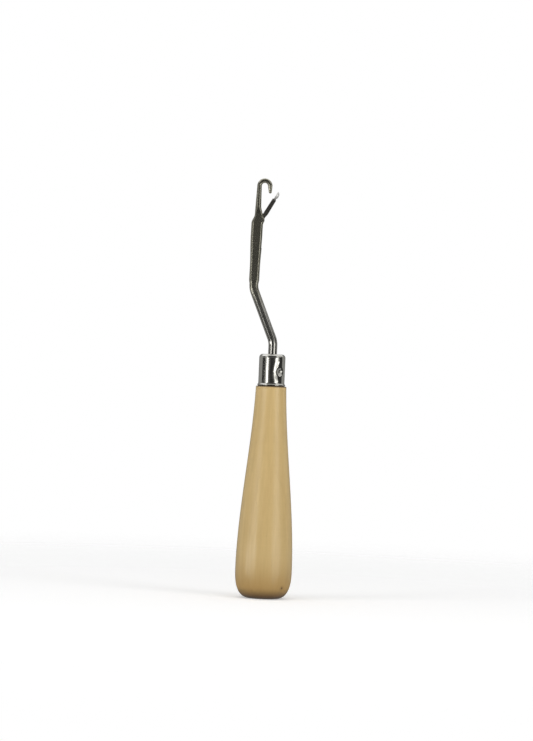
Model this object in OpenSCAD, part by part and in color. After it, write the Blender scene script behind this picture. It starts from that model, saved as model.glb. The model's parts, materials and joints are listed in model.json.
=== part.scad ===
// Latch hook tool: a turned wooden handle, a ferrule locked on it by a punched dimple, a cranked steel
// shank that ends in a slotted blade and a small open hook, and a latch that swings on a rivet.
// Millimetres. +Z runs up the handle's axis from the butt, and the hook opens towards +X.

/* [Handle] */
// Height of the wooden grip, from the butt to the shoulder under the ferrule
handle_h = 83.4; // [65:0.1:110]
// Largest diameter of the grip
belly_d = 22.3; // [18:0.1:28]
// Height of the largest diameter above the butt
belly_h = 11; // [7:0.5:18]
// Diameter of the flat that the tool stands on
butt_flat_d = 10; // [6:0.5:14]
// Fullness of the rounded butt: 2 is an ellipse, higher is squarer
butt_fullness = 2.5; // [2:0.1:3.5]
// Diameter of the grip at its shoulder
shoulder_d = 12; // [11.6:0.1:14]
// Slope of the grip at its shoulder, as a share of its mean taper
shoulder_slope = 0.4; // [0:0.1:1]
// Width of the broken edge round the shoulder
shoulder_break = 0.3; // [0.1:0.05:0.4]

/* [Ferrule] */
// Outer diameter of the ferrule's wall
ferrule_d = 10.3; // [8.8:0.1:10.8]
// Height of the ferrule
ferrule_h = 12.6; // [10:0.1:18]
// Thickness of its drawn metal
ferrule_wall = 0.5; // [0.3:0.05:0.7]
// Outer radius round its closed top
ferrule_round = 0.9; // [0.8:0.05:1.5]
// Radius of the rolled bead at its open end
bead_r = 0.42; // [0.3:0.02:0.5]
// How far the bead stands out of the wall
bead_out = 0.35; // [0.1:0.05:0.4]
// Diameter of the punched dimple
dimple_d = 3; // [2:0.1:4]
// Depth of the dimple
dimple_depth = 0.55; // [0.3:0.05:0.8]
// Height of the dimple's centre above the ferrule's open end
dimple_h = 5.7; // [4.5:0.1:7]
// Angle of the dimple round the axis, from -Y towards +X
dimple_angle = 39; // [0:1:359]

/* [Shank] */
// Diameter of the steel rod
rod_d = 3.5; // [2.8:0.1:4.2]
// Length of the tang below the ferrule's top
tang_len = 38; // [25:1:50]
// Height of the tang's bevelled end
tang_tip = 0.9; // [0.3:0.1:1.5]
// Height of the first bend's corner above the ferrule
neck_h = 5; // [3:0.1:12]
// Distance of the blade from the handle's axis
crank = 8.5; // [6:0.1:11]
// Angle of the slanted stretch to the handle's axis
crank_angle = 22.5; // [18:0.5:30]
// Radius of both bends along the rod's middle
bend_r = 8; // [5:0.5:10]
// How much the rod's radius swells in its bends
bend_swell = 0.02; // [0.02:0.01:0.05]
// Lean of the blade from the handle's direction, towards the hook's opening
blade_lean = 0.9; // [0:0.1:2]

/* [Blade] */
// Thickness of the blade between its two flat sides
blade_t = 2.8; // [2.8:0.1:3.2]
// Width of the blade at its root
blade_root_d = 4; // [3.6:0.1:4.4]
// Width of the blade at its cheeks
cheek_d = 4.7; // [4.5:0.1:5.2]
// Height above the second bend's corner where the blade has its root width
root_h = 3.5; // [3:0.1:5]
// Height where the blade begins to widen
widen_h = 8; // [6:0.5:15]
// Length that the flats take to run out, for each millimetre of their depth
run_out = 8; // [4:0.5:10]
// Height where it has its cheeks' width
cheek_h = 21; // [19:0.5:24]
// Height of the rivet
rivet_h = 27; // [26:0.1:28]
// Distance of the cheeks' top edge above the rivet
cheek_top = -1.3; // [-1.5:0.1:0.5]
// Height of the shoulder over which the blade narrows to the arm
shoulder_h = 3.5; // [3.5:0.1:5]
// Diameter of the arm above the shoulder
arm_d = 2.45; // [2.2:0.05:2.7]
// Distance of the rivet from the blade's front edge
rivet_inset = 0.75; // [0.6:0.05:0.9]
// Radius of the ear round the rivet
ear_r = 1.2; // [1.15:0.05:1.5]
// Height above the rivet where the ear's front edge has run back into the arm
ear_run = 5.2; // [4:0.1:6]
// Width of the slot that the latch folds into
slot_w = 1.2; // [1:0.05:1.4]
// Length of the slot's level floor
slot_floor_len = 8.2; // [6:0.1:10]
// Distance of the floor's upper end above the rivet
slot_top = 0.5; // [0.3:0.1:1]
// Radius of the cutter that rounds the slot's ends
cutter_r = 4; // [3.5:0.1:5]

/* [Hook] */
// Diameter of the hook's wire over its crown
hook_d = 1.8; // [1.4:0.1:2]
// Radius of the crown along the wire's middle
crown_r = 2.1; // [1.9:0.1:2.6]
// Height of the crown's centre above the rivet
crown_h = 13.5; // [12:0.1:17]
// Sweep of the crown, under 180 when the tip points outwards
crown_sweep = 176; // [170:1:180]
// Length of the straight stretch that ends in the tip
tip_len = 2.4; // [2:0.1:3.6]
// Diameter of the hook's round tip
tip_d = 1.2; // [1:0.1:1.4]

/* [Latch] */
// Thickness of the latch's sheet
latch_t = 0.9; // [0.7:0.05:1]
// Width of the latch beside its rivet
latch_w = 1.9; // [1.6:0.1:2.1]
// Width of the latch where its spoon begins
latch_end_w = 1.6; // [1.2:0.1:1.7]
// Radius of the round end behind the rivet
latch_root_r = 1.15; // [1.05:0.05:1.3]
// Length of the spoon
spoon_len = 3.4; // [3:0.1:3.8]
// How far short of the tip's middle the spoon's middle comes
spoon_short = 0.4; // [0:0.1:0.6]
// Width of the spoon
spoon_w = 2.4; // [2.2:0.1:2.6]
// Thickness of the spoon's wall
spoon_wall = 0.35; // [0.25:0.05:0.4]
// How far the spoon's rim is from the latch's middle, towards the hook
rim_offset = 0.35; // [0.3:0.05:0.5]
// Angle of the latch from the blade as it stands, 0 being in line
latch_rest = 28.5; // [25:0.5:35]

/* [Rivet] */
// Diameter of the rivet
rivet_d = 1.1; // [0.9:0.05:1.3]
// Diameter of its flush heads
rivet_head_d = 1.7; // [1.5:0.05:1.9]
// Depth of the countersink that each head fills
rivet_head_h = 0.3; // [0.2:0.05:0.4]

/* [Fits] */
// Clearance round the tenon inside the ferrule
tenon_fit = 0.03; // [0.01:0.01:0.1]
// Clearance round the rod where it passes through the ferrule and the wood
rod_fit = 0.02; // [0.01:0.01:0.1]
// Clearance round the rivet in the cheeks
rivet_fit = 0.01; // [0.01:0.01:0.03]
// Running clearance of the latch on its rivet
latch_fit = 0.03; // [0.02:0.01:0.08]
// Gap between the latch's round end and the slot's floor
slot_gap = 0.15; // [0.1:0.05:0.3]
// Gap left under the tang and over the tenon
end_gap = 0.4; // [0.2:0.1:1]

/* [Hidden] */
$fn = 96;
wood = [0.80, 0.69, 0.48];
nickel = [0.78, 0.77, 0.75];
steel = [0.66, 0.66, 0.67];
cut = 20;
// How far joined stretches of the rod run into each other
lap = 0.2;

ferrule_in_r = ferrule_d / 2 - ferrule_wall;
ferrule_top = handle_h + ferrule_h;
tenon_r = ferrule_in_r - tenon_fit;
tenon_top = ferrule_top - ferrule_wall - end_gap;
tenon_chamfer = ferrule_round;
dimple_r = (pow(dimple_d / 2, 2) + pow(dimple_depth, 2)) / (2 * dimple_depth);

low_corner = ferrule_top + neck_h;
high_corner = low_corner + crank / tan(crank_angle);
low_trim = bend_r * tan(crank_angle / 2);
high_turn = crank_angle + blade_lean;
high_trim = bend_r * tan(high_turn / 2);
slant_len = crank / sin(crank_angle);
tang_foot = ferrule_top - tang_len;

cheek_r = cheek_d / 2;
cheek_top_h = rivet_h + cheek_top;
arm_h = cheek_top_h + shoulder_h;
crown_at = [crown_r, rivet_h + crown_h];
rivet_at = [cheek_r - rivet_inset, rivet_h];
tip_from = crown_at + crown_r * [cos(180 - crown_sweep), sin(180 - crown_sweep)];
tip_at = tip_from + tip_len * [sin(180 - crown_sweep), -cos(180 - crown_sweep)];
latch_reach = norm(tip_at - rivet_at) - spoon_short;
spoon_from = latch_reach - spoon_len / 2;
slot_floor = rivet_at[0] - latch_root_r - slot_gap;
slot_high = rivet_h + slot_top;
slot_low = slot_high - slot_floor_len;

// Smooth step from 0 to 1
function ease(t) = (1 - cos(180 * t)) / 2;

// Points of an arc: centre, radius, first and last angle, steps
function arc(centre, r, from, to, steps = 8) =
    [for (i = [0:steps]) let (a = from + (to - from) * i / steps) centre + r * [cos(a), sin(a)]];

// Radius of the butt where its flat (0) turns into the belly (1)
function butt_r(v) = butt_flat_d / 2 + (belly_d - butt_flat_d) / 2
    * pow(1 - pow(1 - v, butt_fullness), 1 / butt_fullness);

// Radius of the grip from the belly (0) to the shoulder (1)
function taper_r(t) = (shoulder_d + (belly_d - shoulder_d)
    * (2 * pow(t, 3) - 3 * pow(t, 2) + 1 + shoulder_slope * (pow(t, 2) - pow(t, 3)))) / 2;

// The turned outline, with its tenon
module handle_outline() {
    butt_steps = 14;
    taper_steps = 28;
    polygon([
        [0, 0],
        for (i = [0:butt_steps]) let (v = ease(i / butt_steps / 2) * 2) [butt_r(v), belly_h * v],
        for (i = [1:taper_steps]) let (t = i / taper_steps)
            [taper_r(t), belly_h + (handle_h - shoulder_break - belly_h) * t],
        [shoulder_d / 2 - shoulder_break, handle_h],
        [tenon_r, handle_h],
        [tenon_r, tenon_top - tenon_chamfer],
        [tenon_r - tenon_chamfer, tenon_top],
        [0, tenon_top]
    ]);
}

// A ball that presses the dimple, grown by the metal behind it
module punch(grow = 0) {
    rotate([0, 0, dimple_angle])
        translate([0, -(ferrule_d / 2 - dimple_depth + dimple_r), handle_h + dimple_h])
            sphere(r = dimple_r + grow);
}

module handle() {
    color(wood)
        difference() {
            rotate_extrude() handle_outline();
            translate([0, 0, tang_foot - end_gap])
                cylinder(d = rod_d + 2 * rod_fit, h = tang_len);
            punch(ferrule_wall + tenon_fit);
        }
}

module ferrule_outline() {
    wall_r = ferrule_d / 2;
    in_round = ferrule_round - ferrule_wall;
    bead_at = [wall_r + bead_out - bead_r, handle_h + bead_r];
    bead_end = acos((wall_r - bead_at[0]) / bead_r);
    polygon(concat(
        [[ferrule_in_r, handle_h]],
        arc(bead_at, bead_r, -90, bead_end),
        arc([wall_r - ferrule_round, ferrule_top - ferrule_round], ferrule_round, 0, 90),
        [[rod_d / 2 + rod_fit, ferrule_top], [rod_d / 2 + rod_fit, ferrule_top - ferrule_wall]],
        arc([ferrule_in_r - in_round, ferrule_top - ferrule_wall - in_round], in_round, 90, 0)
    ));
}

module ferrule() {
    color(nickel)
        difference() {
            union() {
                rotate_extrude() ferrule_outline();
                intersection() {
                    punch(ferrule_wall);
                    translate([0, 0, handle_h + bead_r])
                        cylinder(r = ferrule_in_r + ferrule_wall / 2, h = ferrule_h - ferrule_round - bead_r);
                }
            }
            punch();
        }
}

// A bend of the rod with its corner at the origin, coming up +Z and turning towards -X
module bend(turn) {
    translate([-bend_r, 0, -bend_r * tan(turn / 2)])
        rotate([90, 0, 0])
            rotate_extrude(angle = turn)
                translate([bend_r, 0])
                    circle(d = rod_d + 2 * bend_swell);
}

// Outline of the blade and the arm, as turned: radius against height above the second corner
module blade_outline() {
    steps = 6;
    polygon([
        [0, high_trim - lap],
        [rod_d / 2, high_trim - lap],
        for (i = [0:steps]) let (t = i / steps)
            [rod_d / 2 + (blade_root_d - rod_d) / 2 * ease(t), high_trim + (root_h - high_trim) * t],
        for (i = [0:steps]) let (t = i / steps)
            [blade_root_d / 2 + (cheek_d - blade_root_d) / 2 * ease(t), widen_h + (cheek_h - widen_h) * t],
        for (i = [0:steps]) let (t = i / steps)
            [cheek_r + (arm_d / 2 - cheek_r) * ease(t), cheek_top_h + shoulder_h * t],
        [hook_d / 2, crown_at[1]],
        [hook_d / 2, crown_at[1] + lap],
        [0, crown_at[1] + lap]
    ]);
}

// What is cut off one side of the turned blade to make it flat, from a sloping run-out upwards
module flat_side() {
    flat_foot = high_trim + run_out * ((rod_d - blade_t) / 2 + bend_swell);
    rotate([90, 0, 90])
        linear_extrude(cut, center = true)
            polygon([
                [blade_t / 2, flat_foot],
                [blade_t / 2, arm_h],
                [cut, arm_h],
                [cut, flat_foot - run_out * (cut - blade_t / 2)]
            ]);
}

// The slot: a cutter's path, open at the front
module slot() {
    middle = slot_floor + cutter_r;
    rotate([90, 0, 0])
        linear_extrude(slot_w, center = true)
            polygon(concat(
                arc([middle, slot_high], cutter_r, 90, 180, 12),
                arc([middle, slot_low], cutter_r, 180, 270, 12)
            ));
}

// The cheeks' raised front edge: round below and before the rivet, and sloping back up into the arm
module ear() {
    top = rivet_h + ear_run;
    front = arm_d / 2 + (hook_d - arm_d) / 2 * (top - arm_h) / (crown_at[1] - arm_h);
    to_top = [front, top] - rivet_at;
    tangent = atan2(to_top[1], to_top[0]) - acos(ear_r / norm(to_top));
    foot = rivet_h - ear_r;
    thin_from = cheek_top_h + shoulder_h / 2;
    half_t = blade_t / 2;
    top_half_t = front / 2;
    intersection() {
        rotate([90, 0, 0])
            linear_extrude(blade_t, center = true)
                polygon(concat(arc(rivet_at, ear_r, -90, tangent, 10), [[front, top], [0, top], [0, foot]]));
        rotate([90, 0, 90])
            linear_extrude(cut, center = true)
                polygon([
                    [-half_t, foot], [half_t, foot], [half_t, thin_from],
                    [top_half_t, top], [-top_half_t, top], [-half_t, thin_from]
                ]);
    }
}

module rivet_shape(fit, end) {
    shaft_r = rivet_d / 2 + fit;
    head_r = rivet_head_d / 2 + fit;
    rotate([90, 0, 0])
        rotate_extrude()
            polygon([
                [0, -blade_t / 2 - end],
                [head_r, -blade_t / 2 - end],
                [head_r, -blade_t / 2],
                [shaft_r, -blade_t / 2 + rivet_head_h],
                [shaft_r, blade_t / 2 - rivet_head_h],
                [head_r, blade_t / 2],
                [head_r, blade_t / 2 + end],
                [0, blade_t / 2 + end]
            ]);
}

// Puts its children in the blade's own frame: origin at the second corner, +Z up the blade
module on_blade() {
    translate([-crank, 0, high_corner])
        rotate([0, blade_lean, 0])
            children();
}

module at_rivet() {
    on_blade()
        translate([rivet_at[0], 0, rivet_at[1]])
            children();
}

module blade() {
    difference() {
        union() {
            difference() {
                rotate_extrude() blade_outline();
                flat_side();
                mirror([0, 1, 0]) flat_side();
            }
            ear();
        }
        slot();
        translate([rivet_at[0], 0, rivet_at[1]])
            rivet_shape(rivet_fit, 1);
    }
}

module hook() {
    translate([crown_at[0], 0, crown_at[1]])
        rotate([90, crown_sweep - 180, 0])
            rotate_extrude(angle = crown_sweep)
                translate([crown_r, 0])
                    circle(d = hook_d + 2 * bend_swell);
    translate([tip_from[0], 0, tip_from[1]])
        rotate([0, crown_sweep, 0])
            rotate_extrude()
                polygon(concat(
                    [[0, -lap], [hook_d / 2, -lap], [hook_d / 2, 0]],
                    arc([0, tip_len], tip_d / 2, 0, 90)
                ));
}

module shank() {
    color(steel) {
        translate([0, 0, tang_foot])
            cylinder(d1 = rod_d - tang_tip, d2 = rod_d, h = tang_tip);
        translate([0, 0, tang_foot + tang_tip])
            cylinder(d = rod_d, h = low_corner - low_trim - tang_foot - tang_tip + lap);
        translate([0, 0, low_corner]) {
            bend(crank_angle);
            rotate([0, -crank_angle, 0])
                translate([0, 0, low_trim - lap])
                    cylinder(d = rod_d, h = slant_len - low_trim - high_trim + 2 * lap);
        }
        translate([-crank, 0, high_corner])
            rotate([0, -crank_angle, 0])
                mirror([1, 0, 0])
                    bend(high_turn);
        on_blade() {
            blade();
            hook();
        }
    }
}

// The latch's flat stem, lying in the slot's plane, with its round end on the rivet
module latch_stem() {
    rotate([90, 0, 0])
        linear_extrude(latch_t, center = true) {
            circle(r = latch_root_r);
            polygon([
                [-latch_w / 2, 0],
                [latch_w / 2, 0],
                [latch_end_w / 2, spoon_from],
                [spoon_w / 2 - rim_offset - spoon_wall / 2, latch_reach],
                [-rim_offset, latch_reach],
                [-rim_offset, spoon_from + spoon_wall],
                [-latch_end_w / 2, spoon_from]
            ]);
        }
}

// A pointed leaf turned about the spoon's rim, wall thick less on each side
module spoon_form(inset) {
    steps = 12;
    half = spoon_len / 2 - inset;
    translate([-rim_offset, 0, latch_reach])
        rotate_extrude()
            polygon([
                for (i = [0:steps]) let (a = -90 + 180 * i / steps)
                    [(spoon_w / 2 - inset) * cos(a), half * sin(a)]
            ]);
}

module latch() {
    color(nickel)
        at_rivet()
            rotate([0, latch_rest, 0])
                difference() {
                    union() {
                        latch_stem();
                        intersection() {
                            spoon_form(0);
                            translate([-rim_offset, -cut / 2, 0])
                                cube([cut, cut, cut]);
                        }
                    }
                    spoon_form(spoon_wall);
                    rotate([90, 0, 0])
                        cylinder(d = rivet_d + 2 * latch_fit, h = cut, center = true);
                }
}

module latch_rivet() {
    color(steel)
        at_rivet()
            rivet_shape(0, 0.03);
}

handle();
ferrule();
shank();
latch();
latch_rivet();
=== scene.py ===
"""A latch hook tool on a pale floor: turned wooden handle, plated ferrule, cranked shank and swinging latch.

Lengths are in millimetres and angles in degrees until they are handed to Blender, which works in metres.
+Z runs up the handle's axis, and the hook opens towards +X.
"""
import json
import math

import bmesh
import bpy
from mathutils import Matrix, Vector


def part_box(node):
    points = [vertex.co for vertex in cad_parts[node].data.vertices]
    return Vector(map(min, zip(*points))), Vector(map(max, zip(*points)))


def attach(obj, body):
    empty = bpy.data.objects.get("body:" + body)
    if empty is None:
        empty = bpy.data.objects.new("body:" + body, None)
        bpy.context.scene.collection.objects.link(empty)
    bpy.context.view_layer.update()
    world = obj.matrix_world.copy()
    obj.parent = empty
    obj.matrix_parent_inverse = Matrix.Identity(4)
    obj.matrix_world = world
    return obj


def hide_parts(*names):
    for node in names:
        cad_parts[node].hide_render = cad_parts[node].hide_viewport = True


MM = 0.001
MERGE_DISTANCE = 0.0005 * MM
TURNED_SMOOTH, SHANK_SMOOTH, SMALL_SMOOTH = 40, 28, 35

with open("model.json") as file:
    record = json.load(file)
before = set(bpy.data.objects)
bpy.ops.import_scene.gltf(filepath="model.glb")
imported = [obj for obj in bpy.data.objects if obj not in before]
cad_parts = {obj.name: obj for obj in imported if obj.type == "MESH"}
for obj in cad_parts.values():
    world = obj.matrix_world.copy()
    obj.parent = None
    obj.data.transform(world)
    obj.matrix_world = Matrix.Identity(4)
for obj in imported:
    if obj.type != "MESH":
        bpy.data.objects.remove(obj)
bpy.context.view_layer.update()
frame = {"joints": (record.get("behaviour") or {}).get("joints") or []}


def node_box(node):
    """A node's lowest and highest corners in millimetres."""
    return [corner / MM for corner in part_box(node)]


_, handle_high = node_box("handle")
ferrule_low, ferrule_high = node_box("ferrule")
shank_low, _ = node_box("shank")
_, rivet_high = node_box("latch_rivet")
pivot = Vector(frame["joints"][0]["pos_m"]) / MM

# Handle
BELLY_R = handle_high.x
BELLY_H = 11
BUTT_FLAT_R = 5
BUTT_FULLNESS = 2.5
GRIP_TOP = ferrule_low.z
SHOULDER_R = 6
SHOULDER_SLOPE = 0.4
SHOULDER_BREAK = 0.3
TENON_R = 4.62
TENON_TOP = handle_high.z
TENON_CHAMFER = 0.9
TANG_HOLE_R = 1.77
TANG_HOLE_FLOOR = shank_low.z - 0.4
HANDLE_SIDES = 144
KNOT_AT = (7.4, -7.5, 4.7)

# Ferrule
FERRULE_R = 5.15
FERRULE_TOP = ferrule_high.z
FERRULE_WALL = 0.5
FERRULE_ROUND = 1.4
BEAD_R = 0.46
BEAD_AT_R = ferrule_high.x - BEAD_R
FLARE_H = 0.5
DIMPLE_R = 2.1
DIMPLE_DEPTH = 0.55
DENT_R = 4.6
DENT_DEPTH = 0.38
DIMPLE_TURN = 42.5
DIMPLE_Z = GRIP_TOP + 5.7
FERRULE_SIDES = 240
ROD_FIT = 0.02

# Shank, below the blade
ROD_R = 1.75
BEND_R = 8
SLANT_TURN = 22.5
BLADE_LEAN = 0.9
HIGH_TURN = SLANT_TURN + BLADE_LEAN
CRANK = 8.5
NECK_H = 5
TANG_FOOT = shank_low.z
TANG_BEVEL = 0.9
SHANK_SIDES = 80
SHANK_CORNER = 11 * 360 / SHANK_SIDES

# Blade, arm and hook, in the blade's own frame: the origin at the second bend's corner, +Z up the blade
BLADE_FOOT_H = BEND_R * math.tan(math.radians(HIGH_TURN / 2))
BLADE_HALF_T = 1.4
FLATS_FROM, FLATS_FULL_H = -9, 10
ROOT_R, ROOT_H = 2, 3.5
WIDEN_H, CHEEK_H, CHEEK_TOP_H = 8, 21, 25.7
CHEEK_R = 2.35
ARM_R, ARM_H = 1.225, 29.2
FLATS_FADE_H, FLATS_END_H = 29.2, 32.2
HOOK_R = 0.9
CROWN_R, CROWN_H = 2.1, 40.5
CROWN_SWEEP = 176
TIP_LEN, TIP_R = 2.4, 0.6
RIVET_AT = (1.6, 27)
EAR_R, EAR_FOOT, EAR_RUN = 1.2, 2, 5.2
EAR_FLAT_X, EAR_CURVE = 2.5, 0.055
SLOT_FLOOR = 0.3
SLOT_LOW, SLOT_HIGH = 19.3, 27.5
SLOT_COLUMNS = 4
LIP_BEVEL = 0.06
CUTTER_R = 4

# Latch, in its own frame: the origin on the rivet, +Z along the latch, its cup towards -X
LATCH_REST = 28.5
LATCH_SIDES = 48
LATCH_CORNER = 3 * 360 / LATCH_SIDES
LATCH_HALF_T = 0.45
EYE_R = 1.15
STEM_R, STEM_END_R = 0.95, 0.8
NECK_R, NECK_FROM, NECK_TO = 0.6, 1.4, 3.4
LATCH_REACH = 11.186
RIM_OFFSET = 0.35
SPOON_HALF_LEN, SPOON_R, SPOON_WALL = 1.7, 1.2, 0.35
SPOON_BACK_R = 1.03
EYE_HOLE_R = 0.58
SPOON_FROM = LATCH_REACH - SPOON_HALF_LEN
SPOON_JOIN = 0.8
DRILL_LEN = 10
# Least values under the two roots, so that no ring shrinks to a point
EYE_END, LEAF_END = 0.0004, 0.0001

# Rivet
RIVET_R, RIVET_HEAD_R, RIVET_HEAD_H = 0.55, 0.85, 0.3
RIVET_DOME = 0.02
RIVET_SIDES = 48


def ease(t):
    """A smooth step: 0 up to 0, 1 from 1 on."""
    t = min(max(t, 0), 1)
    return (1 - math.cos(math.pi * t)) / 2


def between(low, high, t):
    return low + (high - low) * t


def evenly(low, high, steps):
    """Numbers from low to high, both included."""
    return [between(low, high, i / steps) for i in range(steps + 1)]


def arc(centre, r, start, end, steps):
    """Points of an arc round a centre, by its first and last angle."""
    angles = [math.radians(a) for a in evenly(start, end, steps)]
    return [(centre[0] + r * math.cos(a), centre[1] + r * math.sin(a)) for a in angles]


# Modelling

def start_piece(name):
    """Takes the primitive just added as a new piece, its place in its mesh, and opens it for editing."""
    piece = bpy.context.object
    piece.name = name
    piece.data.name = name
    bpy.ops.object.transform_apply(location=True, rotation=True, scale=True)
    bpy.ops.object.mode_set(mode="EDIT")
    bpy.ops.mesh.select_mode(type="VERT")
    return piece


def close_piece(piece, smooth_angle):
    """Merges doubled points, turns all faces outwards and ends the editing."""
    bpy.ops.mesh.select_all(action="SELECT")
    bpy.ops.mesh.remove_doubles(threshold=MERGE_DISTANCE)
    bpy.ops.mesh.normals_make_consistent(inside=False)
    bpy.ops.mesh.select_all(action="DESELECT")
    bpy.ops.object.mode_set(mode="OBJECT")
    bpy.ops.object.shade_smooth_by_angle(angle=math.radians(smooth_angle))


def select_only(piece, mesh, chosen):
    """Leaves just the chosen vertices selected."""
    for vert in mesh.verts:
        vert.select = False
    for vert in chosen:
        vert.select = True
    mesh.select_flush_mode()
    bmesh.update_edit_mesh(piece.data)


def select_faces(piece, wanted):
    """Selects the faces whose middle, in millimetres, passes the test."""
    bpy.ops.mesh.select_mode(type="FACE")
    mesh = bmesh.from_edit_mesh(piece.data)
    for face in mesh.faces:
        face.select = bool(wanted(face.calc_center_median() / MM))
    mesh.select_flush_mode()
    bmesh.update_edit_mesh(piece.data)


def turned(name, outline, steps, smooth_angle):
    """Draws an outline of (radius, height) points edge by edge and spins it round the Z axis."""
    bpy.ops.object.select_all(action="DESELECT")
    radius, height = outline[0]
    bpy.ops.mesh.primitive_plane_add(size=MM, location=(radius * MM, 0, height * MM))
    piece = start_piece(name)
    bpy.ops.mesh.merge(type="CENTER")
    for last, point in zip(outline, outline[1:]):
        move = ((point[0] - last[0]) * MM, 0, (point[1] - last[1]) * MM)
        bpy.ops.mesh.extrude_vertices_move(TRANSFORM_OT_translate={"value": move})
    bpy.ops.mesh.select_all(action="SELECT")
    bpy.ops.mesh.spin(steps=steps, angle=math.tau, center=(0, 0, 0), axis=(0, 0, 1), use_auto_merge=True)
    close_piece(piece, smooth_angle)
    return piece


def press(piece, wall_radii, z, turn, radius, depth):
    """Presses a round hollow into walls round the Z axis, from their nearest vertices out to the radius."""
    out = Vector((math.sin(math.radians(turn)), -math.cos(math.radians(turn)), 0))
    bpy.ops.object.mode_set(mode="EDIT")
    bpy.ops.mesh.select_mode(type="VERT")
    mesh = bmesh.from_edit_mesh(piece.data)
    places = [(out * wall_r + Vector((0, 0, z))) * MM for wall_r in wall_radii]
    nearest = [min(mesh.verts, key=lambda vert: (vert.co - place).length) for place in places]
    select_only(piece, mesh, nearest)
    bpy.ops.transform.translate(value=-out * depth * MM, use_proportional_edit=True,
                                proportional_edit_falloff="SMOOTH", proportional_size=radius * MM)
    bpy.ops.mesh.select_all(action="DESELECT")
    bpy.ops.object.mode_set(mode="OBJECT")


def corner_fullness(corner, squareness):
    """How many times half its thickness a ring's radius is, so that its flats end at the corners' angle."""
    return 1 + squareness * (1 / math.sin(math.radians(corner)) - 1)


def add_ring(piece, sides, corner, place, heading, front, back, half_t, squareness, flat_to=None):
    """Adds one ring of a forged rod, square to its heading.

    front and back are its half widths towards +X and -X, and half_t is half its thickness along Y. With a
    squareness of 1 its two sides are flat between the corners, whose angle is corner, and with 0 it is oval.
    flat_to is how far the flats reach towards +X, where that is further than the oval takes them.
    """
    fullness = corner_fullness(corner, squareness)
    ring_r = half_t * fullness
    flat_y = ring_r * math.sin(math.radians(corner))
    centre = Vector((place[0], 0, place[1])) * MM
    bpy.ops.mesh.primitive_circle_add(vertices=sides, radius=ring_r * MM, location=centre,
                                      rotation=(0, math.radians(heading), 0))
    if front == back == half_t:
        return
    tiny = ring_r * 0.001
    corner_share = math.cos(math.radians(corner))
    flat_x = max(flat_to or 0, front * corner_share)
    wide = flat_x / corner_share
    scale_part(piece, sides, lambda co: co.x > place[0] + tiny, (wide / ring_r, 1, 1), centre)
    if wide > front:
        edge = centre + Vector((flat_x * MM, 0, 0))
        drawn_in = (front - flat_x) / (wide - flat_x)
        scale_part(piece, sides, lambda co: co.x > place[0] + flat_x + tiny, (drawn_in, 1, 1), edge)
    scale_part(piece, sides, lambda co: co.x < place[0] - tiny, (back / ring_r, 1, 1), centre)
    left = 1 - (1 / fullness - flat_y / ring_r) / (1 - flat_y / ring_r) if squareness else 0
    if not left:
        return
    for side in (-1, 1):
        wall = Vector((0, side * flat_y, 0)) * MM
        scale_part(piece, sides, lambda co: side * co.y > flat_y + tiny, (1, 1 - left, 1), wall)


def scale_part(piece, sides, wanted, factors, centre):
    """Scales those vertices of the newest ring that pass the test."""
    mesh = bmesh.from_edit_mesh(piece.data)
    mesh.verts.ensure_lookup_table()
    for vert in mesh.verts[-sides:]:
        vert.select = bool(wanted(vert.co / MM))
    mesh.select_flush_mode()
    bmesh.update_edit_mesh(piece.data)
    bpy.ops.transform.resize(value=factors, center_override=centre)
    for vert in mesh.verts[-sides:]:
        vert.select = True


def forged(name, sides, corner, rings):
    """Adds the rings one by one, bridges them in turn and closes both ends."""
    bpy.ops.object.select_all(action="DESELECT")
    place = rings[0][0]
    bpy.ops.mesh.primitive_plane_add(size=MM, location=(place[0] * MM, 0, place[1] * MM))
    piece = start_piece(name)
    bpy.ops.mesh.delete(type="VERT")
    for ring in rings:
        add_ring(piece, sides, corner, *ring)
    bpy.ops.mesh.select_all(action="SELECT")
    bpy.ops.mesh.bridge_edge_loops()
    for end in (slice(0, sides), slice(-sides, None)):
        mesh = bmesh.from_edit_mesh(piece.data)
        mesh.verts.ensure_lookup_table()
        select_only(piece, mesh, mesh.verts[end])
        bpy.ops.mesh.edge_face_add()
    bpy.ops.mesh.select_all(action="SELECT")
    bpy.ops.mesh.normals_make_consistent(inside=False)
    return piece


def finish_piece(piece, body, material, node):
    """Gives a piece its finish and its body, and hides the node that it stands for."""
    piece.data.materials.clear()
    piece.data.materials.append(material)
    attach(piece, body)
    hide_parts(node)


# Handle and ferrule

def press_dimple(piece, wall_radii):
    """Presses the punch's shallow dent and the round dimple in its middle."""
    press(piece, wall_radii, DIMPLE_Z, DIMPLE_TURN, DENT_R, DENT_DEPTH)
    dented = [r - DENT_DEPTH for r in wall_radii]
    press(piece, dented, DIMPLE_Z, DIMPLE_TURN, DIMPLE_R, DIMPLE_DEPTH)


def butt_r(v):
    """Radius of the butt where its flat, 0, turns into the belly, 1."""
    return BUTT_FLAT_R + (BELLY_R - BUTT_FLAT_R) * (1 - (1 - v) ** BUTT_FULLNESS) ** (1 / BUTT_FULLNESS)


def taper_r(t):
    """Radius of the grip from the belly, 0, to the shoulder, 1."""
    fall = 2 * t ** 3 - 3 * t ** 2 + 1 + SHOULDER_SLOPE * (t ** 2 - t ** 3)
    return SHOULDER_R + (BELLY_R - SHOULDER_R) * fall


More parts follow.
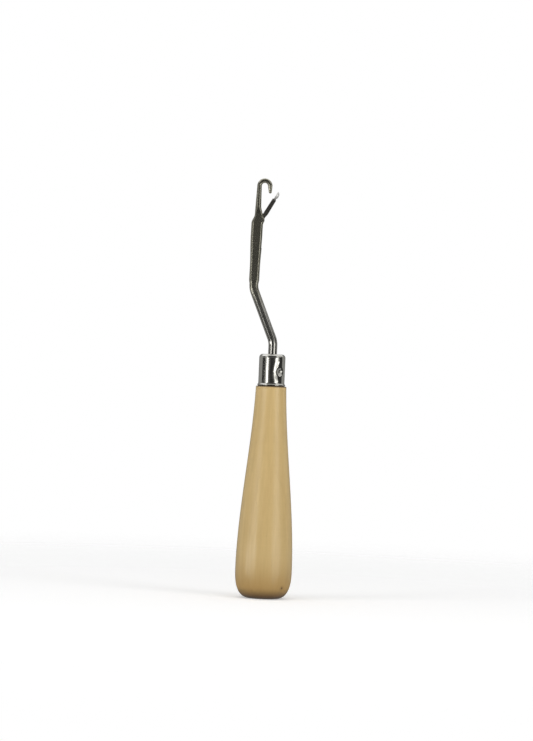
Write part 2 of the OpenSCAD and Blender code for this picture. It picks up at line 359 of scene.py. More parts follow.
def make_handle():
    """The turned grip with its tenon and the hole for the tang."""
    butt_steps, taper_steps, break_steps, tenon_steps = 30, 90, 4, 24
    taper_top = GRIP_TOP - SHOULDER_BREAK
    # Closest together at the flat's edge, where the butt curves most
    butt = [2 * ease(v / 2) for v in evenly(0, 1, butt_steps)]
    outline = [(0, 0)]
    outline += [(butt_r(v), BELLY_H * v) for v in butt]
    outline += [(taper_r(t), between(BELLY_H, taper_top, t)) for t in evenly(0, 1, taper_steps)[1:]]
    outline += arc((SHOULDER_R - SHOULDER_BREAK, taper_top), SHOULDER_BREAK, 0, 90, break_steps)[1:]
    outline += [(TENON_R, z) for z in evenly(GRIP_TOP, TENON_TOP - TENON_CHAMFER, tenon_steps)]
    outline += [(TENON_R - TENON_CHAMFER, TENON_TOP), (TANG_HOLE_R, TENON_TOP)]
    outline += [(TANG_HOLE_R, TANG_HOLE_FLOOR), (0, TANG_HOLE_FLOOR)]
    handle = turned("turned_handle", outline, HANDLE_SIDES, TURNED_SMOOTH)
    press_dimple(handle, [TENON_R])
    return handle


def make_ferrule():
    """The drawn cap with its rolled bead, its rounded top and the punched dimple that locks it."""
    wall_steps, inside_steps = 96, 84
    bead_steps, flare_steps, top_steps, lip_steps, inner_steps = 14, 6, 12, 5, 4
    in_r = FERRULE_R - FERRULE_WALL
    in_round = FERRULE_ROUND - FERRULE_WALL
    bead_z = GRIP_TOP + BEAD_R
    bead_end = 52
    flare_r = BEAD_AT_R + BEAD_R * math.cos(math.radians(bead_end)) - FERRULE_R
    flare_z = bead_z + BEAD_R * math.sin(math.radians(bead_end))
    wall_foot = flare_z + FLARE_H
    wall_top = FERRULE_TOP - FERRULE_ROUND
    ceiling = FERRULE_TOP - FERRULE_WALL
    neck_r = ROD_R + ROD_FIT
    lip = 0.12
    outline = arc((BEAD_AT_R, bead_z), BEAD_R, -90, bead_end, bead_steps)
    outline += [(FERRULE_R + flare_r * (1 - t) ** 2, between(flare_z, wall_foot, t))
                for t in evenly(0, 1, flare_steps)[1:]]
    outline += [(FERRULE_R, z) for z in evenly(wall_foot, wall_top, wall_steps)[1:-1]]
    outline += arc((FERRULE_R - FERRULE_ROUND, wall_top), FERRULE_ROUND, 0, 90, top_steps)
    outline += arc((neck_r + lip, FERRULE_TOP - lip), lip, 90, 180, lip_steps)
    outline += [(neck_r, ceiling)]
    outline += arc((in_r - in_round, ceiling - in_round), in_round, 90, 0, inner_steps)
    outline += [(in_r, z) for z in evenly(ceiling - in_round, GRIP_TOP, inside_steps)[1:]]
    outline += [outline[0]]
    ferrule = turned("ferrule_cap", outline, FERRULE_SIDES, TURNED_SMOOTH)
    press_dimple(ferrule, [FERRULE_R, in_r])
    return ferrule


# Shank

def walk(place, heading, steps):
    """Follows a wire in the XZ plane by lengths and turns towards +X. Gives places and headings."""
    way = []
    for length, turn in steps:
        middle = math.radians(heading + turn / 2)
        place = (place[0] + length * math.sin(middle), place[1] + length * math.cos(middle))
        heading += turn
        way.append((place, heading))
    return way


def straight(length, steps):
    return [(length / steps, 0)] * steps


def curved(r, turn, steps):
    chord = 2 * r * math.sin(math.radians(abs(turn) / steps / 2))
    return [(chord, turn / steps)] * steps


def blade_r(h):
    """Half the width of the blade and the arm, at a height above the second corner."""
    if h < WIDEN_H:
        return between(ROD_R, ROOT_R, ease((h - BLADE_FOOT_H) / (ROOT_H - BLADE_FOOT_H)))
    if h < CHEEK_TOP_H:
        return between(ROOT_R, CHEEK_R, ease((h - WIDEN_H) / (CHEEK_H - WIDEN_H)))
    if h < ARM_H:
        return between(CHEEK_R, ARM_R, ease((h - CHEEK_TOP_H) / (ARM_H - CHEEK_TOP_H)))
    return between(ARM_R, HOOK_R, (h - ARM_H) / (CROWN_H - ARM_H))


def front_r(h):
    """Half the width towards +X, where the ear stands out at the rivet and slopes back up into the arm."""
    r = blade_r(h)
    ear = RIVET_AT[0] + EAR_R
    above = h - RIVET_AT[1]
    if above < -EAR_FOOT or above > EAR_RUN:
        return r
    if above < 0:
        return max(r, between(ear, CHEEK_R, ease(-above / EAR_FOOT)))
    t = above / EAR_RUN
    run_back = t - EAR_CURVE * math.sin(math.tau * t)
    return max(r, between(ear, blade_r(RIVET_AT[1] + EAR_RUN), run_back))


def flatness(h):
    """How flat the sides are, 0 to 1, at a height above the second corner or so far below it on the rod."""
    return ease((h - FLATS_FROM) / (FLATS_FULL_H - FLATS_FROM))


def blade_ring(h):
    """One ring of the blade or the arm: round at both ends and flat-sided between."""
    r = blade_r(h)
    flat = flatness(h) * ease((FLATS_END_H - h) / (FLATS_END_H - FLATS_FADE_H))
    flat_to = between(EAR_FLAT_X, 0, ease(abs(h - RIVET_AT[1]) / EAR_FOOT))
    return ((0, h), 0, front_r(h), r, between(r, BLADE_HALF_T, flat), flat, flat_to)


def lower_rings():
    """The tang, the neck, both bends and the slanted stretch between them, from the bottom up."""
    low_trim = BEND_R * math.tan(math.radians(SLANT_TURN / 2))
    slant = CRANK / math.sin(math.radians(SLANT_TURN)) - low_trim - BLADE_FOOT_H
    tang = FERRULE_TOP + NECK_H - low_trim - TANG_FOOT
    bend_steps, slant_steps, tang_steps = 18, 20, 30
    steps = curved(BEND_R, -HIGH_TURN, bend_steps) + straight(slant, slant_steps)
    steps += curved(BEND_R, SLANT_TURN, bend_steps)
    steps += straight(tang - TANG_BEVEL, tang_steps) + straight(TANG_BEVEL, 1)
    rings = []
    h = BLADE_FOOT_H
    for (place, heading), (length, _) in zip(walk((0, BLADE_FOOT_H), 180, steps), steps):
        h -= length
        half_t = between(ROD_R, BLADE_HALF_T, flatness(h))
        rings.append((place, heading - 180, ROD_R, ROD_R, half_t, flatness(h)))
    bevelled_r = ROD_R - TANG_BEVEL / 2
    rings[-1] = rings[-1][:2] + (bevelled_r, bevelled_r, bevelled_r, 0)
    return rings[::-1]


def hook_rings():
    """The crown and the tip's leg, which tapers to a round tip."""
    crown_steps, leg_steps, tip_steps = 44, 8, 8
    last_angle = 84
    way = walk((0, CROWN_H), 0, curved(CROWN_R, CROWN_SWEEP, crown_steps))
    rings = [(place, heading, HOOK_R, HOOK_R, HOOK_R, 0) for place, heading in way]
    tip_from, heading = way[-1]
    for length in evenly(0, TIP_LEN, leg_steps)[1:]:
        place = walk(tip_from, heading, [(length, 0)])[0][0]
        r = between(HOOK_R, TIP_R, length / TIP_LEN)
        rings.append((place, heading, r, r, r, 0))
    for angle in evenly(0, last_angle, tip_steps)[1:]:
        length = TIP_LEN + TIP_R * math.sin(math.radians(angle))
        place = walk(tip_from, heading, [(length, 0)])[0][0]
        r = TIP_R * math.cos(math.radians(angle))
        rings.append((place, heading, r, r, r, 0))
    return rings


def slot_depth_x(h):
    """Place of the slot's floor along X: level between its ends, and rounded out by the cutter at both."""
    past = max(SLOT_LOW - h, h - SLOT_HIGH, 0)
    if past >= CUTTER_R:
        return RIVET_AT[0] + EAR_R
    return SLOT_FLOOR + CUTTER_R - math.sqrt(CUTTER_R ** 2 - past ** 2)


def cut_slot(shank, heights):
    """Sinks the front edge's middle columns to the slot's floor, with walls square to it."""
    step = 360 / SHANK_SIDES
    rows = [h for h in heights if slot_depth_x(h) < front_r(h)]
    near = 0.01
    low, high = rows[0] - near, rows[-1] + near

    def on_front(middle):
        if not low < middle.z < high or middle.x <= 0:
            return False
        _, _, front, _, half_t, squareness, _ = blade_ring(middle.z)
        fullness = corner_fullness(SHANK_CORNER, squareness)
        return abs(middle.y) < half_t * fullness * math.sin(math.radians(SLOT_COLUMNS * step))

    select_faces(shank, on_front)
    bpy.ops.mesh.extrude_region_move(TRANSFORM_OT_translate={"value": (-near * MM, 0, 0)})
    bpy.ops.mesh.select_mode(type="VERT")
    mesh = bmesh.from_edit_mesh(shank.data)
    floor = [vert for vert in mesh.verts if vert.select]
    for row in rows:
        select_only(shank, mesh, [vert for vert in floor if abs(vert.co.z / MM - row) < near])
        bpy.ops.transform.resize(value=(0, 1, 1), center_override=(slot_depth_x(row) * MM, 0, 0))


def soften_corners(shank, first, count):
    """Rounds the four corners of the flat-sided rings by smoothing the columns next to them."""
    reach = 3
    quarter = SHANK_SIDES // 4
    corner = quarter - round(SHANK_CORNER * SHANK_SIDES / 360)
    columns = set()
    for line in (corner, 2 * quarter - corner, 2 * quarter + corner, 4 * quarter - corner):
        columns.update((line + off) % SHANK_SIDES for off in range(-reach, reach + 1))
    bpy.ops.mesh.select_mode(type="VERT")
    mesh = bmesh.from_edit_mesh(shank.data)
    mesh.verts.ensure_lookup_table()
    rings = range(first, first + count)
    chosen = [vert for vert in mesh.verts
              if vert.index // SHANK_SIDES in rings and vert.index % SHANK_SIDES in columns]
    select_only(shank, mesh, chosen)
    bpy.ops.mesh.vertices_smooth(factor=0.5, repeat=5)


def break_lips(shank):
    """Breaks the sharp edges where the slot meets the front of the blade."""
    above_floor, sharp = 0.3, math.radians(55)
    bpy.ops.mesh.select_mode(type="EDGE")
    mesh = bmesh.from_edit_mesh(shank.data)
    for edge in mesh.edges:
        ends = [vert.co / MM for vert in edge.verts]
        outside = all(end.x > slot_depth_x(end.z) + above_floor for end in ends)
        in_slot = all(SLOT_LOW - CUTTER_R < end.z < SLOT_HIGH + CUTTER_R for end in ends)
        edge.select = outside and in_slot and edge.calc_face_angle(0) > sharp
    mesh.select_flush_mode()
    bmesh.update_edit_mesh(shank.data)
    bpy.ops.mesh.bevel(offset=LIP_BEVEL * MM, segments=2, affect="EDGES")


def make_shank():
    """The steel rod: tang, neck, crank, slotted blade, arm and hook."""
    # Lowest and highest ring and the steps between, closest where the slot, the ear and the arm's foot are
    zones = ((BLADE_FOOT_H, 6, 14), (6, 15.5, 16), (15.5, 32.5, 68), (32.5, CROWN_H, 16))
    heights = [BLADE_FOOT_H] + [h for zone in zones for h in evenly(*zone)[1:]]
    lower = lower_rings()
    rings = lower + [blade_ring(h) for h in heights] + hook_rings()
    shank = forged("cranked_shank", SHANK_SIDES, SHANK_CORNER, rings)
    flattened = sum(ring[5] > 0 for ring in lower)
    soften_corners(shank, len(lower) - flattened, flattened + sum(h < FLATS_END_H for h in heights) - 1)
    cut_slot(shank, heights)
    break_lips(shank)
    close_piece(shank, SHANK_SMOOTH)
    place_from_blade(shank, 0, (0, 0))
    return shank


def place_from_blade(piece, turn, at):
    """Moves a piece from the blade's frame, turned there round a point, to its place on the tool."""
    lean = math.radians(BLADE_LEAN)
    rivet = Vector((RIVET_AT[0], 0, RIVET_AT[1]))
    reach = Vector((at[0], 0, at[1])) - rivet
    turned_reach = Vector((reach.x * math.cos(lean) + reach.z * math.sin(lean), 0,
                           reach.z * math.cos(lean) - reach.x * math.sin(lean)))
    piece.rotation_euler = (0, math.radians(BLADE_LEAN + turn), 0)
    piece.location = (pivot + turned_reach) * MM
    bpy.ops.object.select_all(action="DESELECT")
    piece.select_set(True)
    bpy.context.view_layer.objects.active = piece
    bpy.ops.object.transform_apply(location=True, rotation=True, scale=True)


# Latch and rivet

def latch_ring(h):
    """One ring of the latch: a round eye, a tapering stem and a leaf-shaped spoon, hollow to the hook."""
    if h < SPOON_FROM:
        eye = math.sqrt(max(EYE_R ** 2 - h ** 2, EYE_END))
        stem = between(STEM_R, STEM_END_R, max(h, 0) / SPOON_FROM)
        if h < 0:
            return ((0, h), 0, eye, eye, LATCH_HALF_T, 1)
        neck = between(NECK_R, stem, ease((h - NECK_FROM) / (NECK_TO - NECK_FROM)))
        return ((0, h), 0, max(eye, neck), max(eye, stem), LATCH_HALF_T, 1)
    along = (h - LATCH_REACH) / SPOON_HALF_LEN
    leaf = math.sqrt(max(1 - along ** 2, LEAF_END))
    in_len = SPOON_HALF_LEN - SPOON_WALL
    hollow = math.sqrt(max(1 - ((h - LATCH_REACH) / in_len) ** 2, 0)) * (SPOON_R - SPOON_WALL)
    joining = 1 - ease((h - SPOON_FROM) / (SPOON_HALF_LEN * SPOON_JOIN))
    front = max(SPOON_R * leaf, SPOON_BACK_R * joining)
    side = max(SPOON_R * leaf, LATCH_HALF_T * joining)
    back = (STEM_END_R - RIM_OFFSET) * (1 - ease((h - SPOON_FROM) / SPOON_WALL)) - hollow
    return ((-RIM_OFFSET, h), 0, front, back, side, 0)


def make_latch():
    """The latch, a stamped stem whose spoon closes over the hook's tip, with its hole for the rivet."""
    eye_steps, stem_steps, spoon_steps = 14, 24, 44
    end_angle, stem_end = 2, SPOON_FROM - 0.02
    eye = [-EYE_R * math.cos(math.radians(a)) for a in evenly(end_angle, 90, eye_steps)]
    stem = evenly(0, stem_end, stem_steps)[1:]
    spoon = [LATCH_REACH - SPOON_HALF_LEN * math.cos(math.radians(a))
             for a in evenly(0, 180 - end_angle, spoon_steps)]
    latch = forged("swing_latch", LATCH_SIDES, LATCH_CORNER, [latch_ring(h) for h in eye + stem + spoon])
    close_piece(latch, SMALL_SMOOTH)
    drill(latch, EYE_HOLE_R)
    place_from_blade(latch, LATCH_REST, RIVET_AT)
    return latch


def drill(piece, hole_r):
    """Cuts the rivet's hole through a piece that still has its pivot at the origin."""
    bpy.ops.object.select_all(action="DESELECT")
    bpy.ops.mesh.primitive_cylinder_add(vertices=RIVET_SIDES, radius=hole_r * MM, depth=DRILL_LEN * MM,
                                        rotation=(math.radians(90), 0, 0))
    cutter = bpy.context.object
    bpy.ops.object.select_all(action="DESELECT")
    bpy.context.view_layer.objects.active = piece
    piece.select_set(True)
    cut = piece.modifiers.new("hole", "BOOLEAN")
    cut.operation = "DIFFERENCE"
    cut.solver = "EXACT"
    cut.object = cutter
    bpy.ops.object.modifier_apply(modifier=cut.name)
    bpy.data.objects.remove(cutter)


def make_rivet():
    """The rivet, its heads peened into their countersinks and polished nearly flush."""
    dome_steps = 8
    half = rivet_high.y - RIVET_DOME
    head = [(RIVET_HEAD_R * math.cos(math.radians(a)), half + RIVET_DOME * math.sin(math.radians(a)))
            for a in evenly(0, 90, dome_steps)]
    upper = [(RIVET_R, half - RIVET_HEAD_H)] + head
    lower = [(r, -z) for r, z in reversed(upper)]
    rivet = turned("latch_rivet_pin", lower + upper, RIVET_SIDES, SMALL_SMOOTH)
    rivet.rotation_euler = (math.radians(90), 0, 0)
    rivet.location = pivot * MM
    bpy.ops.object.transform_apply(location=True, rotation=True, scale=True)
    return rivet


# Materials

class Value:
    """A number on its way through a node tree. Arithmetic on it adds Math nodes."""

    def __init__(self, nodes, socket):
        self.nodes = nodes
        self.socket = socket

    def __add__(self, other):
        return self.nodes.math("ADD", self, other)

    __radd__ = __add__

    def __sub__(self, other):
        return self.nodes.math("SUBTRACT", self, other)

    def __rsub__(self, other):
        return self.nodes.math("SUBTRACT", other, self)

    def __mul__(self, other):
        return self.nodes.math("MULTIPLY", self, other)

    __rmul__ = __mul__

    def __truediv__(self, other):
        return self.nodes.math("DIVIDE", self, other)

    def __pow__(self, other):
        return self.nodes.math("POWER", self, other)


class Nodes:
    """A node tree while it is made, and the shader that its nodes lead to."""

    def __init__(self, owner, shader):
        owner.use_nodes = True
        self.tree = owner.node_tree
        self.shader = self.tree.nodes[shader]

    def node(self, kind, settings, sockets, output=0):
        """Adds a node: its settings first, then the values or links of its sockets. Gives one output."""
        made = self.tree.nodes.new("ShaderNode" + kind)
        for name, value in settings.items():
            setattr(made, name, value)
        for key, value in sockets.items():
            self.feed(made.inputs[key], value)
        return Value(self, made.outputs[output])

    def feed(self, socket, value):
        if isinstance(value, Value):
            self.tree.links.new(value.socket, socket)
        else:
            socket.default_value = value

    def math(self, operation, *values):
        return self.node("Math", {"operation": operation}, dict(enumerate(values)))

    def set(self, key, value):
        """Feeds one of the shader's sockets."""
        self.feed(self.shader.inputs[key], value)


class Finish(Nodes):
    """A material while it is made."""

    def __init__(self, name, **constants):
        self.material = bpy.data.materials.new(name)
        super().__init__(self.material, "Principled BSDF")
        for key, value in constants.items():
            self.shader.inputs[key.replace("_", " ")].default_value = value

    def place(self, centre=(0, 0, 0), turn=(0, 0, 0), scale=(1, 1, 1)):
        """The place on the object, in metres, from a centre in millimetres, then turned and stretched."""
        spot = self.node("TexCoord", {}, {}, "Object")
        moved = self.node("VectorMath", {"operation": "SUBTRACT"}, {0: spot, 1: Vector(centre) * MM})
        angles = [math.radians(a) for a in turn]
        return self.node("Mapping", {}, {"Vector": moved, "Rotation": angles, "Scale": scale})

    def axes(self, place):
        """The three coordinates of a place."""
        split = self.node("SeparateXYZ", {}, {"Vector": place})
        outputs = split.socket.node.outputs
        return [Value(self, outputs[i]) for i in range(3)]

    def noise(self, place, size, detail=2, roughness=0.5):
        """Noise from 0 to 1 whose lumps are about that size, in millimetres."""
        sockets = {"Vector": place, "Scale": 1 / (size * MM), "Detail": detail, "Roughness": roughness}
        return self.node("TexNoise", {}, sockets)

    def grain(self, along, size, detail=2, roughness=0.5):
        """Noise drawn out along Z, where its scale is along times its scale across."""
        return self.noise(self.place(scale=(1, 1, along)), size, detail, roughness)

    def step(self, value, low, high):
        """0 where the value is under low, 1 where it is over high, and smooth between."""
        sockets = {"Value": value, "From Min": low, "From Max": high}
        return self.node("MapRange", {"interpolation_type": "SMOOTHSTEP"}, sockets)

    def distance(self, place, centre):
        """Distance in millimetres from a centre in millimetres."""
        sockets = {0: place, 1: Vector(centre) * MM}
        return self.node("VectorMath", {"operation": "DISTANCE"}, sockets, "Value") / MM

    def blend(self, share, first, second):
        """A colour between two colours, by the second one's share."""
        colours = [c if isinstance(c, Value) else (*c, 1) for c in (first, second)]
        sockets = {0: share, 6: colours[0], 7: colours[1]}
        return self.node("Mix", {"data_type": "RGBA"}, sockets, 2)

    def relief(self, height, depth):
        """Raises the surface by a height from 0 to 1, times a depth in millimetres."""
        self.set("Normal", self.node("Bump", {}, {"Height": height, "Distance": depth * MM, "Strength": 1.0}))


def grown_colour(finish):
    """The wood's own colours: cloudy, with growth rings and streaks drawn out along it."""
    pith, pith_turn = (-14, 34, 0), (1.6, -1.2, 0)
    ring_width, ring_wander = 2.3, 3.2
    dark, light = (0.595, 0.405, 0.147), (0.71, 0.515, 0.226)
    late, streak = (0.46, 0.285, 0.095), (0.50, 0.35, 0.125)
    wander = finish.grain(0.06, 9, 3)
    hx, hy, _ = finish.axes(finish.place(centre=pith, turn=pith_turn))
    rings_mm = (hx * hx + hy * hy) ** 0.5 / MM + wander * ring_wander
    ring = finish.math("FRACT", rings_mm / ring_width)
    late_wood = finish.step(ring, 0.45, 0.97) - finish.step(ring, 0.97, 1.0)
    streaks = finish.step(finish.grain(0.05, 1.7, 3, 0.6), 0.42, 0.7)
    cloud = finish.grain(0.45, 11, 3)
    colour = finish.blend(cloud, dark, light)
    colour = finish.blend(late_wood * 0.18, colour, late)
    return finish.blend(streaks * 0.3, colour, streak)


def marked_and_shaded_colour(finish, colour, fibre, z_mm):
    """Darkens a colour towards the butt, and on its end grain, which is partly painted shade; adds a painted
    shade under the bead and darkens a small knot.
    """
    # end is the colour of the butt's end grain and of the painted shade on its rim; shade is the painted
    # shade under the bead
    low, end, shade = (0.395, 0.215, 0.05), (0.085, 0.04, 0.018), (0.11, 0.065, 0.03)
    knot_edge, knot_heart = (0.25, 0.14, 0.05), (0.07, 0.035, 0.015)
    low_tone = 1 - finish.step(z_mm, 1.5, 18)
    colour = finish.blend(low_tone * 0.68, colour, low)
    # Painted shade round the butt's rim, partly the end grain's own darker colour too
    end_grain_and_shade = 1 - finish.step(z_mm + fibre * 0.8, 0.4, 5.2)
    colour = finish.blend(end_grain_and_shade * 0.93, colour, end)
    # Painted shade on the wood just under the ferrule's bead
    painted_shade_under_bead = finish.step(z_mm, GRIP_TOP - 0.55, GRIP_TOP - 0.2)
    colour = finish.blend(painted_shade_under_bead * 0.8, colour, shade)
    knot = finish.distance(finish.place(), KNOT_AT) + fibre * 0.35
    colour = finish.blend((1 - finish.step(knot, 0.55, 1.7)) * 0.4, colour, knot_edge)
    return finish.blend((1 - finish.step(knot, 0.35, 0.75)) * 0.85, colour, knot_heart)


def pale_wood():
    """Pale, straight-grained hardwood, sanded and lacquered, with its coat worn thin at the butt."""
    pale_fibre, dark_fibre = (0.79, 0.59, 0.285), (0.49, 0.33, 0.122)
    turned_line, pore = (0.42, 0.27, 0.10), (0.26, 0.155, 0.05)
    finish = Finish("pale_wood", Coat_Roughness=0.22, Coat_IOR=1.5, IOR=1.45)
    z_mm = finish.axes(finish.place())[2] / MM
    fibre = finish.grain(0.03, 0.65, 3, 0.6)
    fine_fibre = finish.grain(0.02, 0.16, 2, 0.6)
    pores = finish.step(finish.grain(0.11, 0.2, 1), 0.70, 0.80)
    turning = finish.noise(finish.place(scale=(0.06, 0.06, 1)), 0.7, 3, 0.6)
    colour = finish.blend(fibre * 0.55 - 0.06, grown_colour(finish), pale_fibre)
    colour = finish.blend(fine_fibre * 0.22, colour, dark_fibre)
    colour = finish.blend(turning * 0.14, colour, turned_line)
    colour = finish.blend(pores * 0.32, colour, pore)
    finish.set("Base Color", marked_and_shaded_colour(finish, colour, fibre, z_mm))
    finish.set("Roughness", 0.46 + fibre * 0.14)
    worn_coat = 1 - finish.step(z_mm, 5, 10)
    finish.set("Coat Weight", 1 - pores * 0.3 - worn_coat * 0.6)
    finish.relief(fibre * 0.5 + fine_fibre * 0.3 + turning * 0.3 - pores * 0.5, 0.02)
    return finish.material


def bright_nickel():
    """Bright plate on drawn sheet: faint draw lines, a little haze and a painted shadow, made duller too,
    along the bead's underside where it meets the wood.
    """
    dim, bright = (0.74, 0.73, 0.70), (0.83, 0.82, 0.79)
    speck, painted_seam_shadow = (0.20, 0.17, 0.13), (0.10, 0.06, 0.032)
    finish = Finish("bright_nickel", Metallic=1.0)
    spot = finish.place()
    z_mm = finish.axes(spot)[2] / MM
    haze = finish.noise(spot, 2.6, 3)
    lines = finish.grain(0.04, 0.12, 2)
    specks = finish.step(finish.noise(spot, 0.35, 2), 0.73, 0.8)
    # Painted shadow along the bead's underside, where the ferrule meets the wood
    seam = 1 - finish.step(z_mm, GRIP_TOP + 0.26, GRIP_TOP + 0.5)
    colour = finish.blend(haze, dim, bright)
    colour = finish.blend(specks * 0.25, colour, speck)
    colour = finish.blend(seam * 0.9, colour, painted_seam_shadow)
    finish.set("Base Color", colour)
    finish.set("Roughness", 0.08 + haze * 0.06 + specks * 0.15 + seam * 0.2)
    finish.relief(haze * 0.35 + lines * 0.05, 0.012)
    return finish.material


def forged_plate():
    """Plated steel over a forged rod: soft hammer waves, and a blade that is duller and finely lined."""
    dull_from, dull_to = 112, 124
    plate_dim, plate_bright = (0.56, 0.545, 0.52), (0.70, 0.69, 0.66)
    blade_dim, blade_bright = (0.47, 0.45, 0.37), (0.62, 0.60, 0.51)
    speck = (0.16, 0.14, 0.10)
    finish = Finish("forged_plate", Metallic=1.0)
    spot = finish.place()
    z_mm = finish.axes(spot)[2] / MM
    waves = finish.grain(0.5, 2.6, 2)
    lines = finish.noise(finish.place(turn=(0, -BLADE_LEAN, 0), scale=(1, 1, 0.05)), 0.14, 2)
    tarnish = finish.noise(spot, 3.1, 4, 0.6)
    specks = finish.step(finish.noise(spot, 0.28, 2), 0.75, 0.82)
    blade = finish.step(z_mm, dull_from, dull_to)
    plate = finish.blend(tarnish, plate_dim, plate_bright)
    dull = finish.blend(tarnish, blade_dim, blade_bright)
    colour = finish.blend(blade, plate, dull)
    colour = finish.blend(specks * 0.15, colour, speck)
    finish.set("Base Color", colour)
    finish.set("Roughness", 0.09 + blade * 0.12 + tarnish * 0.1 + specks * 0.05)
    finish.relief(waves * 0.2 + lines * blade * 0.015, 0.02)
    return finish.material


def latch_plate():
    """Plate on stamped sheet: a dark stem, and a spoon painted pale and less metallic as a painted highlight.
    """
    highlight_from, highlight_to = 156, 158.5
    dim, bright, spoon_highlight_tone = (0.34, 0.32, 0.30), (0.46, 0.44, 0.41), (0.80, 0.79, 0.77)
    finish = Finish("latch_plate")
    spot = finish.place()
    z_mm = finish.axes(spot)[2] / MM
    haze = finish.noise(spot, 1.2, 3)
    lines = finish.noise(finish.place(turn=(0, -BLADE_LEAN - LATCH_REST, 0), scale=(1, 1, 0.06)), 0.1, 2)
    # Painted highlight: the spoon turns pale and less metallic
    painted_spoon_highlight = finish.step(z_mm, highlight_from, highlight_to)
    dull = finish.blend(haze, dim, bright)
    finish.set("Base Color", finish.blend(painted_spoon_highlight, dull, spoon_highlight_tone))
    finish.set("Metallic", 1 - painted_spoon_highlight * 0.55)
    finish.set("Roughness", 0.20 + haze * 0.08)
    finish.relief(haze * 0.6 + lines * 0.2, 0.01)
    return finish.material


def peened_steel():
    """The rivet's steel, with the faint rings and pits that peening leaves."""
    steel, seam = (0.57, 0.555, 0.49), (0.16, 0.15, 0.14)
    edge_width, ring_rate = 0.14, 60
    finish = Finish("peened_steel", Metallic=1.0)
    spot = finish.place(centre=pivot)
    x, _, z = finish.axes(spot)
    radius_mm = (x * x + z * z) ** 0.5 / MM
    pits = finish.noise(spot, 0.3, 3)
    edge = finish.step(radius_mm, RIVET_HEAD_R - edge_width, RIVET_HEAD_R)
    finish.set("Base Color", finish.blend(edge * 0.5, steel, seam))
    finish.set("Roughness", 0.22 + pits * 0.2 + edge * 0.2)
    rings = finish.math("SINE", radius_mm * ring_rate)
    finish.relief(rings * 0.1 + pits, 0.01)
    return finish.material


# Stage, its places in metres. Azimuth 0 is the camera's side and 90 is on its right

FLOOR_CLEAR_R, FLOOR_R = 0.03, 0.45
FLOOR_LIFT = 0.34
CARD_LOW, CARD_HIGH = -0.5, 0.7
CARD_BLUE = 0.95
CEILING_Z = 1.2
FLAT = (0, 0, 0)
FILL = 0.42
MIDDLE_Z = 0.09

# The photograph's framing: its height in pixels, and its scale and place on the object
IMAGE_H = 741
MM_PER_PIXEL = 0.3933
IMAGE_CENTRE = (-2.10, 89.5)
ROLL = 2.4
CAMERA_DISTANCE = 1.2
SENSOR = 36

# Name, azimuths of both ends, distance, level, lowest and highest point
CARDS = (
    ("front_card", -28, 28, 1.0, 0.065, CARD_LOW, CARD_HIGH),
    ("front_core", -13, 13, 0.86, 0.028, CARD_LOW, 0.145),
    ("front_upper_card", -28, 28, 0.98, 0.13, 0.145, 0.24),
    ("front_low_card", -46, 44, 0.97, 0.04, CARD_LOW, -0.05),
    ("front_high_card", -44, 44, 0.97, 0.05, 0.23, 1.5),
    ("left_strip", -46.5, -37, 0.85, 3.6, -0.03, 0.105),
    ("left_low_strip", -80, -53, 0.86, 3.0, -0.05, 0.03),
    ("right_strip", 30, 49, 0.85, 1.9, -0.03, 0.105),
    ("right_low_strip", 54, 68, 0.86, 2.0, -0.05, 0.03),
    ("left_card", -60, -94, 0.95, 0.03, CARD_LOW, CARD_HIGH),
    ("left_upper_strip", -56, -35, 0.9, 0.6, 0.13, 0.2),
    ("right_upper_strip", 32, 62, 0.9, 1.4, 0.13, 0.19),
    ("left_upper_card", -58, -96, 0.93, 0.45, 0.165, 0.24),
    ("right_dent_strip", 30, 49, 0.85, 1.9, -0.3, -0.13),
    ("right_card", 62, 100, 0.95, 0.03, CARD_LOW, 0.5),
    ("right_high_card", 62, 130, 0.97, 0.5, 0.5, 1.4),
)

# The same for the cards that stand alike on both sides
SIDE_CARDS = (
    ("_neck_strip", 35, 56, 0.88, 0.8, 0.105, 0.13),
    ("_shoulder", 26, 64, 1.02, 0.5, CARD_LOW, CARD_HIGH),
    ("_rear_card", 92, 140, 1.0, 0.28, CARD_LOW, CARD_HIGH),
    ("_back_card", 138, 180, 0.98, 0.2, CARD_LOW, CARD_HIGH),
)


def floor_material():
    """Pale floor that fades out round the tool, lifted towards white where it is looked at."""
    finish = Finish("pale_floor", Base_Color=(0.92, 0.92, 0.92, 1), Roughness=0.9, Emission_Strength=1.0)
    x, y, _ = finish.axes(finish.place())
    finish.set("Alpha", 1 - finish.step((x * x + y * y) ** 0.5, FLOOR_CLEAR_R, FLOOR_R))
    seen = finish.node("LightPath", {}, {}, "Is Camera Ray")
    finish.set("Emission Color", finish.blend(seen, (0, 0, 0), (FLOOR_LIFT, FLOOR_LIFT, FLOOR_LIFT)))
    return finish.material


def card_material(name, level):
    """An even tone for a studio card, whatever light falls on it."""
    tone = (level, level, level * CARD_BLUE, 1)
    return Finish(name, Base_Color=(0, 0, 0, 1), Emission_Color=tone, Emission_Strength=1.0,
                  Roughness=1.0, Specular_IOR_Level=0.0).material


def make_floor():
    sides, margin = 96, 0.02
    bpy.ops.object.select_all(action="DESELECT")
    bpy.ops.mesh.primitive_circle_add(vertices=sides, radius=FLOOR_R + margin, fill_type="NGON")
    floor = bpy.context.object
    floor.name = "pale_floor"
    floor.data.materials.append(floor_material())
    floor.visible_glossy = False


def compass(azimuth, distance, z):
    """A place round the tool: azimuth 0 is the camera's side, 90 is on its right."""
    angle = math.radians(azimuth)
    return Vector((distance * math.sin(angle), -distance * math.cos(angle), z))


def make_card(name, start, end, distance, level, low, high):
    """An upright card from one azimuth to another, which only reflections show."""
    ends = [compass(azimuth, distance, (low + high) / 2) for azimuth in (start, end)]
    azimuth = (start + end) / 2
    middle = (ends[0] + ends[1]) / 2
    turn = (math.radians(90), 0, math.radians(azimuth))
    add_card(name, middle, turn, (ends[1] - ends[0]).length, high - low, level)


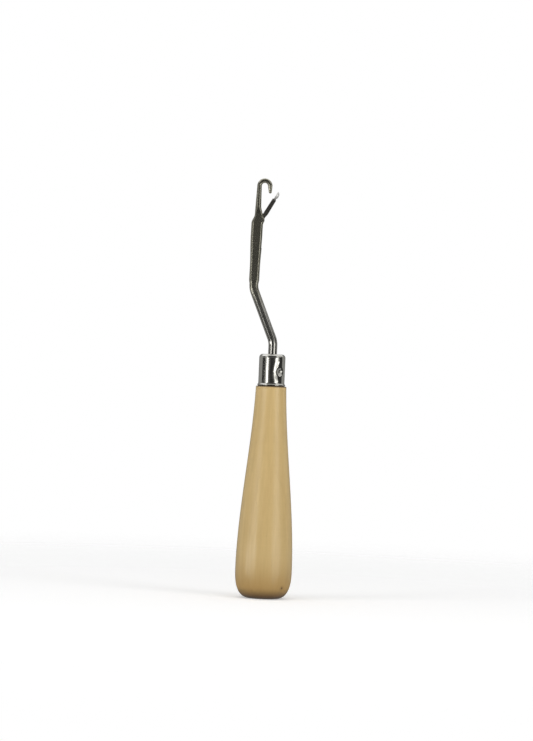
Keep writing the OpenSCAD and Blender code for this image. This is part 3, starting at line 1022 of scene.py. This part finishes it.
def add_card(name, middle, rotation, width, height, level):
    bpy.ops.object.select_all(action="DESELECT")
    bpy.ops.mesh.primitive_plane_add(size=1, location=middle, rotation=rotation)
    card = bpy.context.object
    card.name = name
    card.scale = (width, height, 1)
    bpy.ops.object.transform_apply(location=True, rotation=True, scale=True)
    card.data.materials.append(card_material(name, level))
    card.visible_camera = False
    card.visible_diffuse = False
    card.visible_shadow = False
    card.visible_transmission = False


def make_lamp(name, azimuth, distance, z, width, height, watts):
    """A soft box that faces the tool. It isn't seen in reflections, where the strip cards stand for it."""
    lamp = bpy.data.lights.new(name, "AREA")
    lamp.shape = "RECTANGLE"
    lamp.size, lamp.size_y = width, height
    lamp.energy = watts
    holder = bpy.data.objects.new(name, lamp)
    holder.visible_glossy = False
    holder.location = compass(azimuth, distance, z)
    aim = Vector((0, 0, MIDDLE_Z)) - holder.location
    holder.rotation_euler = aim.to_track_quat("-Z", "Y").to_euler()
    bpy.context.scene.collection.objects.link(holder)


def make_world():
    """White where the camera, metal and glass look past the tool, and a softer fill for matt surfaces."""
    world = bpy.data.worlds.new("studio")
    nodes = Nodes(world, "Background")
    camera, glossy, transmission = [nodes.node("LightPath", {}, {}, kind)
                                    for kind in ("Is Camera Ray", "Is Glossy Ray", "Is Transmission Ray")]
    seen = camera + glossy + transmission
    nodes.set("Color", (1, 1, 1, 1))
    nodes.set("Strength", nodes.node("MapRange", {}, {"Value": seen, "To Min": FILL, "To Max": 1.0}))
    bpy.context.scene.world = world


def make_camera():
    """Level with the tool, looking along +Y, rolled so that the tool leans to the right."""
    lens = bpy.data.cameras.new("camera")
    lens.sensor_fit = "AUTO"
    lens.sensor_width = SENSOR
    lens.lens = SENSOR * CAMERA_DISTANCE / (IMAGE_H * MM_PER_PIXEL * MM)
    lens.clip_start = 0.01
    lens.clip_end = 20
    camera = bpy.data.objects.new("camera", lens)
    camera.location = (IMAGE_CENTRE[0] * MM, -CAMERA_DISTANCE, IMAGE_CENTRE[1] * MM)
    camera.rotation_euler = (math.radians(90), math.radians(-ROLL), 0)
    bpy.context.scene.collection.objects.link(camera)
    bpy.context.scene.camera = camera


def make_stage():
    """The floor, a soft box on each side and one above, and the tones that the plated pieces mirror."""
    make_floor()
    for card in CARDS:
        make_card(*card)
    for side, name in ((-1, "left"), (1, "right")):
        for part, start, end, *rest in SIDE_CARDS:
            make_card(name + part, side * start, side * end, *rest)
        make_lamp(name + "_box", side * 53, 0.75, MIDDLE_Z + 0.05, width=0.34, height=0.9, watts=2.9)
    add_card("ceiling_front", (0, -0.55, CEILING_Z), FLAT, width=1.6, height=0.5, level=0.2)
    add_card("ceiling", (0, 0.25, CEILING_Z), FLAT, width=1.6, height=1.1, level=0.8)
    add_card("under_card", (0, 0, CARD_LOW), FLAT, width=2.4, height=2.4, level=0.3)
    make_lamp("top_box", 0, 0.3, 0.95, width=0.6, height=0.4, watts=1.2)


def make_tool():
    finish_piece(make_handle(), "tool", pale_wood(), "handle")
    finish_piece(make_ferrule(), "tool", bright_nickel(), "ferrule")
    finish_piece(make_shank(), "tool", forged_plate(), "shank")
    finish_piece(make_latch(), "latch", latch_plate(), "latch")
    finish_piece(make_rivet(), "tool", peened_steel(), "latch_rivet")


bpy.context.scene.view_settings.view_transform = "Standard"
make_camera()
make_world()
make_stage()
make_tool()
